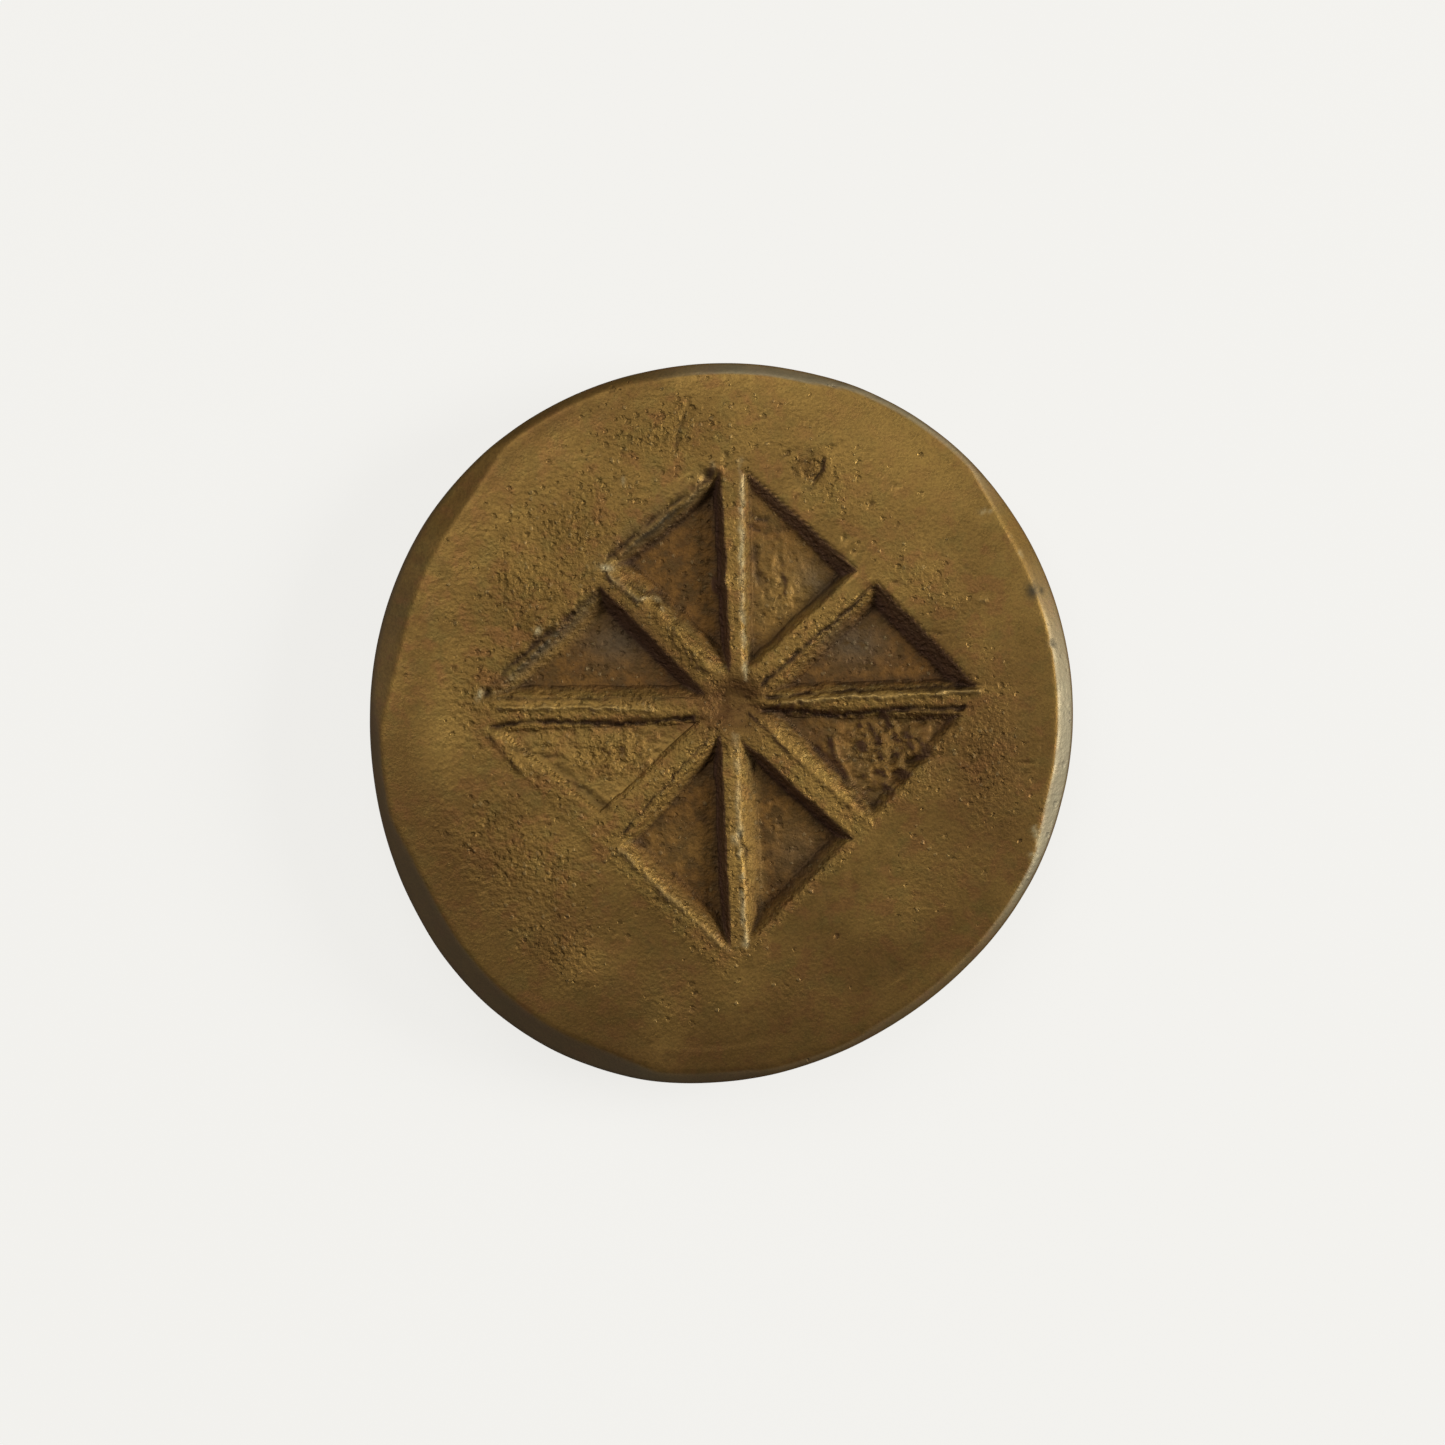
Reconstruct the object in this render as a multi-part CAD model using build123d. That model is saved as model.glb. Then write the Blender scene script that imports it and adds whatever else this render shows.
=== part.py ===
from build123d import *
from collections import namedtuple
from math import cos, radians, sin, sqrt
import os

# A thick round token, cast in brass in a sand mould and filed by hand round its rim. Its face is
# slightly crowned and carries a sunk lozenge, which eight ribs divide into triangular pockets.
# Millimetres. The token lies on its back: the face looks along +Z and the back is the plane z = 0.
# Azimuths are in degrees, anticlockwise from +X as seen from in front of the face.

# --- driving dimensions ---------------------------------------------------------------------------
MEAN_DIAMETER = 38.0
THICKNESS = 5.0  # from the back to the crown of the face
CROWN = 0.5  # how far the middle of the face stands above its rim
FACE_EDGE_RADIUS = 0.5  # worn edge round the face
BACK_EDGE_RADIUS = 0.8  # cast edge round the back

# The outline is a circle pulled out of round by lobes.
Lobes = namedtuple("Lobes", "count height azimuth")  # height is a share of the mean radius
OUTLINE_LOBES = [
    Lobes(count=2, height=0.0187, azimuth=63),
    Lobes(count=3, height=0.0101, azimuth=8),
    Lobes(count=4, height=0.0053, azimuth=60),
]
OUTLINE_POINTS = 36

# The rim is filed in runs of flats, side by side. The sweep is between the first and the last flat's
# azimuths. The width is across the middle of a flat, as seen from in front, and the slope is the
# flat's angle to the face.
FiledRun = namedtuple("FiledRun", "azimuth sweep flats width slope")
FILED_RUNS = [
    FiledRun(azimuth=9, sweep=42, flats=8, width=0.92, slope=46),
    FiledRun(azimuth=89, sweep=18, flats=4, width=0.60, slope=55),
    FiledRun(azimuth=116, sweep=18, flats=4, width=0.45, slope=52),
    FiledRun(azimuth=156, sweep=20, flats=5, width=1.42, slope=29),
    FiledRun(azimuth=187, sweep=18, flats=4, width=0.52, slope=50),
    FiledRun(azimuth=228, sweep=40, flats=8, width=1.14, slope=42),
    FiledRun(azimuth=265, sweep=16, flats=4, width=0.50, slope=50),
    FiledRun(azimuth=319, sweep=34, flats=6, width=0.44, slope=50),
]

# Pockets, clockwise from north (+Y). The corners are where the pocket meets the face: the one at the
# hub, then the first and the second on the lozenge, clockwise. The depths are at those corners. The
# walls are the widths, as seen from in front, of the first rib's flank, the outer wall and the second
# rib's flank.
Pocket = namedtuple("Pocket", "hub first second depths walls")
POCKETS = [
    Pocket((1.25, 2.35), (1.15, 13.65), (7.25, 7.90), (0.70, 0.45, 0.85), (0.45, 0.65, 0.40)),
    Pocket((1.90, 1.30), (8.25, 7.35), (13.80, 1.70), (0.80, 1.10, 0.95), (0.95, 0.85, 0.55)),
    Pocket((2.15, 0.60), (13.20, 0.45), (8.15, -5.25), (0.70, 0.45, 0.60), (0.40, 0.50, 0.55)),
    Pocket((0.95, -0.85), (7.00, -6.30), (1.45, -11.95), (0.80, 1.00, 0.90), (0.35, 0.75, 0.85)),
    Pocket((0.00, -0.55), (0.55, -12.15), (-5.35, -6.55), (0.85, 0.95, 0.75), (0.30, 0.85, 0.65)),
    Pocket((-0.55, 0.10), (-6.35, -5.25), (-12.10, -0.35), (0.30, 0.20, 0.20), (0.30, 0.25, 0.25)),
    Pocket((-0.50, 1.15), (-12.55, 1.15), (-6.35, 6.95), (0.80, 0.70, 1.00), (0.65, 1.00, 0.50)),
    Pocket((0.55, 2.10), (-5.95, 8.30), (0.00, 13.10), (0.85, 0.90, 1.00), (0.95, 0.65, 0.30)),
]

# Shallow round hollows in the face, each with its middle, radius and depth.
Hollow = namedtuple("Hollow", "middle radius depth")
HUB_DISH = Hollow((0.80, 0.80), 1.60, 0.30)
CASTING_GOUGE = Hollow((5.00, 13.30), 0.75, 0.22)

# --- worked-out dimensions ------------------------------------------------------------------------
MEAN_RADIUS = MEAN_DIAMETER / 2
CROWN_RADIUS = (MEAN_RADIUS**2 + CROWN**2) / (2 * CROWN)
CUT_ABOVE_FACE = 0.4  # how far each cutting tool stands above the face


def face_height(x, y):
    """Height of the crowned face over the back."""
    return THICKNESS - CROWN_RADIUS + sqrt(CROWN_RADIUS**2 - x**2 - y**2)


def outline_radius(azimuth):
    """Radius of the rim, at the side wall."""
    lobes = sum(lobe.height * cos(lobe.count * radians(azimuth - lobe.azimuth)) for lobe in OUTLINE_LOBES)
    return MEAN_RADIUS * (1 + lobes)


def outline():
    """Smooth closed outline of the side wall, as a face."""
    azimuths = [360 / OUTLINE_POINTS * step for step in range(OUTLINE_POINTS)]
    points = [outline_radius(a) * Vector(cos(radians(a)), sin(radians(a))) for a in azimuths]
    return Face(Wire(Spline(*points, periodic=True)))


def crowned_disc():
    """The casting before filing: a disc with a domed face and rounded edges."""
    dome = Pos(0, 0, THICKNESS - CROWN_RADIUS) * Sphere(CROWN_RADIUS)
    disc = extrude(outline(), THICKNESS) & dome
    disc = fillet(disc.edges().filter_by_position(Axis.Z, THICKNESS / 2, THICKNESS), FACE_EDGE_RADIUS)
    return fillet(disc.edges().group_by(Axis.Z)[0], BACK_EDGE_RADIUS)


def filed_off(azimuth, width, slope):
    """The block of metal that filing one flat takes away."""
    distance = outline_radius(azimuth) - width
    block = MEAN_RADIUS
    chord = Pos(distance, 0, face_height(distance, 0)) * Rot(0, slope, 0)
    return Rot(0, 0, azimuth) * chord * Pos(0, 0, block / 2) * Box(block, 2 * block, block)


def flat_azimuths(run):
    """Azimuths of the flats of one run."""
    return [run.azimuth + run.sweep * (step / (run.flats - 1) - 0.5) for step in range(run.flats)]


def inset(corners, distances):
    """Corners of a triangle whose three sides, clockwise, are moved inwards by three distances."""
    sides = []
    for start, end, distance in zip(corners, corners[1:] + corners[:1], distances):
        along = (Vector(end) - Vector(start)).normalized()
        inwards = Vector(along.Y, -along.X)
        sides.append((Vector(start) + inwards * distance, along))
    moved = []
    for (start, along), (other_start, other_along) in zip(sides[-1:] + sides[:-1], sides):
        gap = other_start - start
        share = gap.cross(other_along).Z / along.cross(other_along).Z
        moved.append(start + along * share)
    return moved


def pocket_tool(pocket):
    """Solid that cuts one pocket: sloping walls down to a floor that may tilt."""
    corners = [pocket.hub, pocket.first, pocket.second]
    mean_depth = sum(pocket.depths) / len(pocket.depths)
    above_face = [-wall * CUT_ABOVE_FACE / mean_depth for wall in pocket.walls]
    rim = [Vector(p.X, p.Y, face_height(*corner) + CUT_ABOVE_FACE)
           for p, corner in zip(inset(corners, above_face), corners)]
    floor = [Vector(p.X, p.Y, face_height(p.X, p.Y) - depth)
             for p, depth in zip(inset(corners, pocket.walls), pocket.depths)]
    return loft([Face(Wire.make_polygon(rim)), Face(Wire.make_polygon(floor))], ruled=True)


def hollow_tool(hollow):
    """Ball that cuts one shallow round hollow."""
    ball_radius = (hollow.radius**2 + hollow.depth**2) / (2 * hollow.depth)
    x, y = hollow.middle
    return Pos(x, y, face_height(x, y) - hollow.depth + ball_radius) * Sphere(ball_radius)


def token():
    """The whole casting, with the middle of its back's box at the origin."""
    body = crowned_disc()
    for run in FILED_RUNS:
        for azimuth in flat_azimuths(run):
            body -= filed_off(azimuth, run.width, run.slope)
    for pocket in POCKETS:
        body -= pocket_tool(pocket)
    for hollow in (HUB_DISH, CASTING_GOUGE):
        body -= hollow_tool(hollow)
    middle = body.bounding_box().center()
    return Pos(-middle.X, -middle.Y, 0) * body


os.makedirs("parts", exist_ok=True)
export_step(token(), "parts/token.step")
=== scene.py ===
from collections import namedtuple
from functools import cached_property
from math import cos, hypot, pi, radians, sin

import bpy
import numpy as np
from mathutils import Matrix, Vector
from mathutils.bvhtree import BVHTree


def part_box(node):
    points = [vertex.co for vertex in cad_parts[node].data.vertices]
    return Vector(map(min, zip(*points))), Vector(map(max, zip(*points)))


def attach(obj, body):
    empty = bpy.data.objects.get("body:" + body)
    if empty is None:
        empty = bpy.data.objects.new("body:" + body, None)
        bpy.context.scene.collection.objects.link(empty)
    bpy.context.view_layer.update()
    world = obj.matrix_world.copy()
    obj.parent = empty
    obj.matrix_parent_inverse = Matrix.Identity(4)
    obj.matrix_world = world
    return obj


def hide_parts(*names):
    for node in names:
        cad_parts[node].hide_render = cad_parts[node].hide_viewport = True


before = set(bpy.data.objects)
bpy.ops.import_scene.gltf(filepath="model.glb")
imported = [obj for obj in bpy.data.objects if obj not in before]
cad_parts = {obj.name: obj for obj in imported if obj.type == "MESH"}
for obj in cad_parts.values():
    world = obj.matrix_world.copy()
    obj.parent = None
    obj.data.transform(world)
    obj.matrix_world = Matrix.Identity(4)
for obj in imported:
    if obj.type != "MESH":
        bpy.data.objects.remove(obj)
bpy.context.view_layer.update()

# A sand-cast brass token, lying on its back with its face up. The frame is in metres; the sculpting
# below works in millimetres and is turned into metres when the mesh is made. The azimuths and turns
# of marks and lights are in degrees, anticlockwise from +X.
MM = 0.001
LOW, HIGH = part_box("token")
THICKNESS = HIGH.z / MM
CROWN = 0.5  # how far the middle of the face stands above its rim
HALF_SIZE = max(HIGH.x, HIGH.y) / MM

# --- how the piece is meshed ----------------------------------------------------------------------
MAP_PITCH = 0.06  # of the height map that is read from the CAD face
MAP_MARGIN = 0.5  # of the height map, beyond the token
RIM_BAND = 1.9  # breadth of the rim that is meshed by sections instead of by heights
FACE_RINGS = 136  # rings of the face, from the middle to the rim band
FINER_MIDDLE = 0.28  # share by which the rings stand closer in the middle of the face
SKELETON_HEIGHT = THICKNESS / 2  # of the ring inside the rim that the sections are taken from
RAY_LENGTH = 4 * HALF_SIZE
RIM_COUNT = 4 * FACE_RINGS  # points round the edge of the face, and in each ring of the rim
BACK_STEP = 0.1  # by which each ring of the back is smaller than the one before

# --- how the cast edges are worn ------------------------------------------------------------------
SOFT_EDGE = 0.045  # blur that rounds the edges of the cast pattern
WORN_EDGE = 0.22  # blur where the pattern is worn round
BROAD_BLUR = 0.5  # blur that tells the pockets' corners from open ground
EDGE_WANDER = 0.055  # how far the pattern's edges are moved about
WANDER_CELL = 0.9
PATTERN_REACH = 14.5  # from the middle to a little beyond the lozenge's corners
STEADY_REACH = 16.0  # from the middle to where nothing is moved about any more
RIM_SMOOTHINGS = 8
RIM_PULL = 0.4  # how far a point of the rim moves towards its neighbours each time

cad_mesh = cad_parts["token"].data
cad_tree = BVHTree.FromPolygons([v.co / MM for v in cad_mesh.vertices],
                                [p.vertices[:] for p in cad_mesh.polygons])

# --- noise ----------------------------------------------------------------------------------------
LATTICE_SIZE = 256  # cells before the noise repeats
FIRST_TURN = 0.4  # of the layers of noise, in radians
TURN_PER_LAYER = 0.7
FINER = 0.5  # a layer's cell, as a share of the one before
FAINTER = 0.55  # a layer's strength, as a share of the one before


def lattice_noise(x, y, cell, seed):
    """Smooth noise between -1 and 1 over a plane, with features about one cell across."""
    size = LATTICE_SIZE
    values = np.random.RandomState(seed).uniform(-1, 1, (size, size))
    i = np.floor(x / cell).astype(int)
    j = np.floor(y / cell).astype(int)
    s = x / cell - i
    t = y / cell - j
    s = s * s * (3 - 2 * s)
    t = t * t * (3 - 2 * t)
    near = values[i % size, j % size] * (1 - s) + values[(i + 1) % size, j % size] * s
    far = values[i % size, (j + 1) % size] * (1 - s) + values[(i + 1) % size, (j + 1) % size] * s
    return near * (1 - t) + far * t


def layered_noise(x, y, cell, seed, layers=3):
    """Noise with finer and fainter layers on top, each turned a little."""
    total = np.zeros_like(x)
    strength = 1.0
    for layer in range(layers):
        turn = TURN_PER_LAYER * layer + FIRST_TURN
        u = x * cos(turn) - y * sin(turn)
        v = x * sin(turn) + y * cos(turn)
        total += strength * lattice_noise(u, v, cell, seed + layer)
        cell *= FINER
        strength *= FAINTER
    return total


def ramp(value, start, end):
    """0 at the start, 1 at the end, smooth in between."""
    share = np.clip((value - start) / (end - start), 0, 1)
    return share * share * (3 - 2 * share)


# --- the face as a height map ---------------------------------------------------------------------
MAP_HALF = HALF_SIZE + MAP_MARGIN
MAP_AXIS = np.arange(-MAP_HALF, MAP_HALF, MAP_PITCH)
MAP_X, MAP_Y = np.meshgrid(MAP_AXIS, MAP_AXIS, indexing="ij")


def cad_height(x, y):
    """Height of the CAD face over one point, or nan beside the token."""
    hit = cad_tree.ray_cast(Vector((x, y, RAY_LENGTH)), Vector((0, 0, -1)))[0]
    return hit.z if hit else np.nan


def read_face():
    """The CAD face as a height map, read a little out of place so that its edges wander."""
    wander = EDGE_WANDER * ramp(np.hypot(MAP_X, MAP_Y), STEADY_REACH, PATTERN_REACH)
    x = MAP_X + wander * layered_noise(MAP_X, MAP_Y, WANDER_CELL, 11)
    y = MAP_Y + wander * layered_noise(MAP_X, MAP_Y, WANDER_CELL, 21)
    heights = np.array([cad_height(*point) for point in zip(x.ravel(), y.ravel())])
    return np.where(np.isnan(heights), THICKNESS / 2, heights).reshape(MAP_X.shape)


def blurred(image, sigma):
    """Gaussian blur of a height map; sigma is in millimetres."""
    rows = np.fft.fftfreq(image.shape[0], MAP_PITCH)
    columns = np.fft.rfftfreq(image.shape[1], MAP_PITCH)
    weight = np.exp(-2 * (pi * sigma) ** 2 * (rows[:, None] ** 2 + columns[None, :] ** 2))
    return np.fft.irfft2(np.fft.rfft2(image) * weight, image.shape)


def sample(image, x, y):
    """Values of a height map at scattered points, straight between its cells."""
    u = (x + MAP_HALF) / MAP_PITCH
    v = (y + MAP_HALF) / MAP_PITCH
    i = np.clip(np.floor(u).astype(int), 0, image.shape[0] - 2)
    j = np.clip(np.floor(v).astype(int), 0, image.shape[1] - 2)
    s = np.clip(u - i, 0, 1)
    t = np.clip(v - j, 0, 1)
    near = image[i, j] * (1 - s) + image[i + 1, j] * s
    far = image[i, j + 1] * (1 - s) + image[i + 1, j + 1] * s
    return near * (1 - t) + far * t


CAD_MAP = read_face()
SOFT_MAP = blurred(CAD_MAP, SOFT_EDGE)
WORN_MAP = blurred(CAD_MAP, WORN_EDGE)
BROAD_MAP = blurred(CAD_MAP, BROAD_BLUR)
STEEPNESS_MAP = np.hypot(*np.gradient(SOFT_MAP, MAP_PITCH))

# --- what the casting and its wear left on the face -----------------------------------------------
# A patch is a soft ellipse: its middle, its two half-breadths, how far it is turned, its amount.
Patch = namedtuple("Patch", "x y long short turn amount")

# A line is a ridge (height above 0) or a crevice (below 0) along a few points. The shine is how far
# its crest is rubbed bright: partly worn metal, partly painted highlight.
Line = namedtuple("Line", "points width height shine")

# Where the skin is rough, where it is lumpy, and where the pattern is worn round.
ROUGH_PATCHES = [
    # round the lozenge
    Patch(-8.4, 8.8, 7.0, 4.2, 45, 0.95),
    Patch(-12.0, 2.4, 2.8, 4.6, 0, 0.80),
    Patch(-1.5, 15.4, 6.0, 2.6, 0, 0.90),
    Patch(6.0, 12.5, 5.0, 2.6, -40, 0.60),
    Patch(11.0, 7.5, 4.5, 2.6, -50, 0.60),
    Patch(13.9, -1.5, 2.4, 5.5, 10, 0.85),
    Patch(10.5, -8.3, 4.0, 3.0, 45, 0.45),
    Patch(-10.6, -7.2, 5.5, 3.6, -45, 0.75),
    Patch(-9.0, -11.6, 3.4, 1.8, -35, 0.80),
    Patch(-2.5, -14.5, 4.0, 2.4, 0, 0.35),
    Patch(3.5, -14.0, 3.5, 2.4, 0, 0.25),
    Patch(4.3, 13.6, 1.2, 1.0, 0, 1.0),
    # three pockets' floors
    Patch(3.2, 6.8, 3.0, 1.4, 90, 0.45),
    Patch(9.2, -1.8, 3.6, 2.2, -20, 1.00),
    Patch(-6.0, -1.7, 4.6, 1.7, -12, 1.00),
    # slopes beside the ribs and inside the lozenge's edge
    Patch(-8.6, 4.0, 3.6, 0.45, 40, 1.0),
    Patch(-2.6, 4.6, 2.8, 0.7, -48, 1.0),
    Patch(1.75, -6.6, 5.5, 0.40, -85, 1.0),
    Patch(-2.3, -9.0, 4.2, 0.35, -43, 0.7),
    Patch(-3.1, -4.2, 3.6, 0.45, 50, 1.0),
    Patch(5.2, 4.2, 4.0, 0.5, 45, 0.8),
]
LUMPY_PATCHES = [
    Patch(8.8, -1.8, 3.2, 2.6, -20, 1.0),
    Patch(3.2, 7.5, 3.0, 1.2, 90, 0.55),
    Patch(-5.2, 7.6, 1.6, 1.0, -45, 0.5),
    Patch(-3.0, 5.6, 2.6, 0.8, -48, 0.7),
    Patch(-5.5, -1.6, 4.0, 2.0, -10, 0.35),
    Patch(-1.0, 13.2, 1.0, 0.8, 0, 0.4),
    Patch(4.4, 13.6, 1.0, 0.9, 0, 0.9),
]
WORN_PATCHES = [
    Patch(0.8, 0.9, 2.2, 2.2, 0, 1.0),
    Patch(0.9, -3.0, 2.6, 0.7, 90, 0.9),
    Patch(-6.5, 0.3, 6.0, 0.8, 0, 0.8),
    Patch(-3.5, -2.5, 4.5, 1.0, 45, 0.8),
    Patch(7.0, 0.9, 6.0, 0.5, 0, 0.5),
]

# Lumps stand out of the face (amount above 0, in millimetres) and hollows are sunk in it (below 0).
BUMPS = [
    # the knot on the north rib, and a speck
    Patch(-0.15, 7.4, 0.45, 0.30, 90, 0.55),
    Patch(13.8, 6.5, 0.16, 0.16, 0, 0.10),
    # along the lozenge's north-west edge
    Patch(-9.9, 5.4, 0.60, 0.40, 40, 0.12),
    Patch(-0.35, 13.5, 0.40, 0.30, 0, 0.20),
    Patch(-9.3, 6.3, 0.60, 0.25, 20, -0.16),
    Patch(-0.9, 13.0, 0.35, 0.30, 0, -0.22),
    Patch(0.1, 13.9, 0.20, 0.16, 0, -0.12),
    # the gouge
    Patch(4.1, 13.8, 0.55, 0.35, 20, -0.10),
    Patch(4.5, 13.0, 0.45, 0.30, -20, -0.10),
    Patch(5.0, 13.3, 0.48, 0.48, 0, 0.17),
    # gas holes
    Patch(0.8, 17.3, 0.16, 0.13, 0, -0.10),
    Patch(5.8, 14.5, 0.18, 0.15, 0, -0.16),
    Patch(6.2, 14.7, 0.12, 0.12, 0, -0.10),
    Patch(7.8, 11.5, 0.20, 0.16, 30, -0.16),
    Patch(9.1, 12.5, 0.12, 0.12, 0, -0.10),
    Patch(6.4, 9.7, 0.14, 0.20, 0, -0.12),
    Patch(6.9, 9.0, 0.14, 0.14, 0, -0.10),
    Patch(9.1, 7.4, 0.16, 0.12, 0, -0.10),
    # dents on the right
    Patch(16.5, 7.1, 0.30, 0.20, 0, -0.06),
    Patch(15.9, -2.8, 0.40, 0.18, 60, -0.08),
    Patch(16.1, -2.2, 0.14, 0.14, 0, -0.09),
    # the east-south-east pocket
    Patch(7.3, -2.3, 0.70, 0.25, 70, -0.07),
    Patch(9.0, -0.8, 0.60, 0.22, -75, -0.15),
    Patch(10.5, 0.1, 0.60, 0.30, 0, -0.22),
    Patch(10.2, -2.0, 0.90, 0.20, 10, -0.18),
    Patch(8.0, -1.6, 0.50, 0.45, 0, 0.16),
    Patch(10.6, -1.1, 0.60, 0.40, 0, 0.20),
    Patch(8.6, -3.4, 0.70, 0.40, -45, 0.16),
]

# Small places that are rubbed bright, with painted highlights on them.
PAINTED_GLINTS = [
    Patch(-6.2, 8.15, 0.34, 0.13, -8, 1.2),
    Patch(-9.8, 4.80, 0.12, 0.22, -15, 1.0),
    Patch(-12.9, 1.40, 0.12, 0.30, -20, 1.0),
    Patch(-0.55, 13.6, 0.10, 0.25, 20, 0.3),
    Patch(0.85, -5.9, 0.20, 0.30, -20, 0.5),
    Patch(13.8, 6.5, 0.12, 0.12, 0, 0.4),
    Patch(-5.3, 12.8, 0.10, 0.18, 0, 0.5),
]

# Dark greenish spots: three on the rim, and one at the lozenge's north corner.
STAINS = [
    Patch(16.45, 6.95, 0.34, 0.42, 10, 1.0),
    Patch(16.95, 7.00, 0.18, 0.25, 0, 0.8),
    Patch(17.50, 4.20, 0.26, 0.18, 0, 0.9),
    Patch(-0.9, 13.1, 0.30, 0.30, 0, 0.3),
]

LINES = [
    # rubbed arrises, partly painted highlight: the north rib, the south rib's two halves, the
    # south-south-west pocket's outer edge, the east and the west rib, and the south-east rib
    Line([(1.00, 13.9), (0.98, 10.8), (1.02, 6.5), (1.16, 2.3)], 0.14, -0.02, 0.52),
    Line([(0.66, -0.7), (0.78, -4.1), (0.82, -5.6)], 0.16, 0.02, 0.26),
    Line([(0.50, -6.1), (0.78, -6.6), (1.00, -7.3), (1.02, -9.5), (1.18, -11.8)], 0.13, 0.05, 0.44),
    Line([(-5.5, -6.7), (-3.5, -8.7), (0.2, -12.0)], 0.14, 0.12, 0.14),
    Line([(3.1, 1.0), (6.8, 1.36), (8.7, 1.36), (13.6, 1.70)], 0.14, 0.20, 0.16),
    Line([(-11.8, 0.70), (-8.6, 0.74), (-6.2, 0.72), (-3.8, 0.60)], 0.12, 0.17, 0.12),
    Line([(1.5, 0.5), (4.2, -2.2), (7.7, -5.35)], 0.16, 0.12, 0),
    # the crack between the south rib's two halves
    Line([(0.80, -5.9), (1.00, -6.5), (1.25, -7.1)], 0.09, -0.14, 0),
    # crevices beside the ribs
    Line([(2.3, 1.3), (6.3, 1.65), (9.5, 1.75), (13.4, 1.95)], 0.12, -0.16, 0),
    Line([(2.0, 0.65), (4.4, 0.55), (6.1, 0.40), (8.7, 0.65), (12.7, 0.75)], 0.13, -0.24, 0),
    Line([(-12.3, -0.3), (-11.3, -0.1), (-9.9, 0.0), (-5.4, -0.1), (-1.7, 0.2)], 0.12, -0.22, 0),
    Line([(-12.0, 1.25), (-5.7, 1.25), (-1.7, 1.30)], 0.10, -0.10, 0),
    Line([(-5.5, -6.0), (-3.0, -3.3), (-0.9, -1.0)], 0.08, -0.12, 0),
    Line([(7.9, 7.2), (6.5, 5.8), (4.2, 3.9), (2.0, 1.9)], 0.12, -0.18, 0),
    # shallow channels in the west-south-west and the east-south-east pocket
    Line([(-8.8, -2.4), (-7.6, -3.5), (-6.2, -4.5)], 0.22, -0.07, 0),
    Line([(-11.4, -1.3), (-10.2, -1.7), (-8.6, -1.9)], 0.12, -0.08, 0),
    Line([(5.0, -1.5), (6.4, -3.0), (7.6, -4.8)], 0.20, -0.09, 0),
    # channels along the walls inside the lozenge's north-west edge
    Line([(-12.6, 1.5), (-11.4, 2.8), (-9.8, 4.3), (-8.5, 5.25), (-6.6, 6.95)], 0.20, -0.16, 0),
    Line([(-0.8, 12.9), (-3.4, 10.95), (-6.1, 8.70)], 0.16, -0.12, 0),
    # ragged burrs on the north-west rib, with the crack behind them, and the rib's rough crown; then
    # the west-south-west pocket's bead and the east-south-east pocket's ridge
    Line([(-6.1, 7.7), (-5.1, 6.9), (-4.5, 6.5)], 0.13, 0.22, 0.30),
    Line([(-4.3, 6.55), (-3.8, 6.65), (-3.35, 6.4), (-3.25, 6.05)], 0.13, 0.28, 0.50),
    Line([(-5.0, 7.35), (-4.2, 6.95), (-3.3, 6.85), (-2.9, 6.2)], 0.10, -0.12, 0),
    Line([(-3.3, 5.8), (-2.0, 4.3), (-0.9, 2.9)], 0.45, 0.18, 0),
    Line([(-12.2, -0.7), (-11.4, -1.6), (-10.6, -2.6)], 0.16, 0.12, 0),
    Line([(5.8, -0.9), (6.6, -2.8), (7.8, -4.9)], 0.18, 0.14, 0),
    # the gouge's edges
    Line([(5.35, 13.9), (5.2, 13.3), (4.9, 12.8), (4.6, 12.4)], 0.10, -0.10, 0),
    Line([(4.6, 12.3), (4.05, 12.7), (3.7, 13.4)], 0.10, -0.08, 0),
    Line([(3.1, 14.1), (3.85, 14.45), (4.75, 14.35), (5.3, 14.0)], 0.10, -0.07, 0),
    # dents, cracks and low ridges in the north-north-east pocket
    Line([(1.55, 11.1), (1.9, 10.8), (2.4, 10.8)], 0.09, -0.15, 0),
    Line([(1.3, 10.5), (1.75, 10.2), (2.2, 10.0)], 0.09, -0.13, 0),
    Line([(1.60, 9.30), (1.75, 8.20), (2.00, 7.40)], 0.20, -0.10, 0),
    Line([(2.10, 8.00), (2.90, 7.60)], 0.14, 0.10, 0),
    Line([(3.05, 7.05), (3.70, 6.70), (4.40, 6.50)], 0.14, 0.10, 0),
    # scratches and nicks on the rim
    Line([(16.80, -6.40), (16.50, -5.60)], 0.13, -0.05, 0.8),
    Line([(16.47, -7.28), (16.30, -7.03)], 0.12, -0.04, 0.7),
    Line([(15.90, 8.90), (15.80, 9.05)], 0.10, -0.04, 0.5),
    Line([(15.42, 9.70), (15.35, 9.85)], 0.10, -0.04, 0.5),
    Line([(14.35, 11.35), (13.65, 11.20)], 0.10, -0.05, 0.4),
    Line([(17.70, 4.25), (17.35, 4.15)], 0.14, -0.12, 0),
    # scratches on the face
    Line([(-1.8, 17.2), (-2.2, 15.8), (-2.6, 14.5)], 0.10, -0.09, 0),
    Line([(11.1, 4.8), (11.6, 4.7)], 0.07, -0.10, 0),
]
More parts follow.
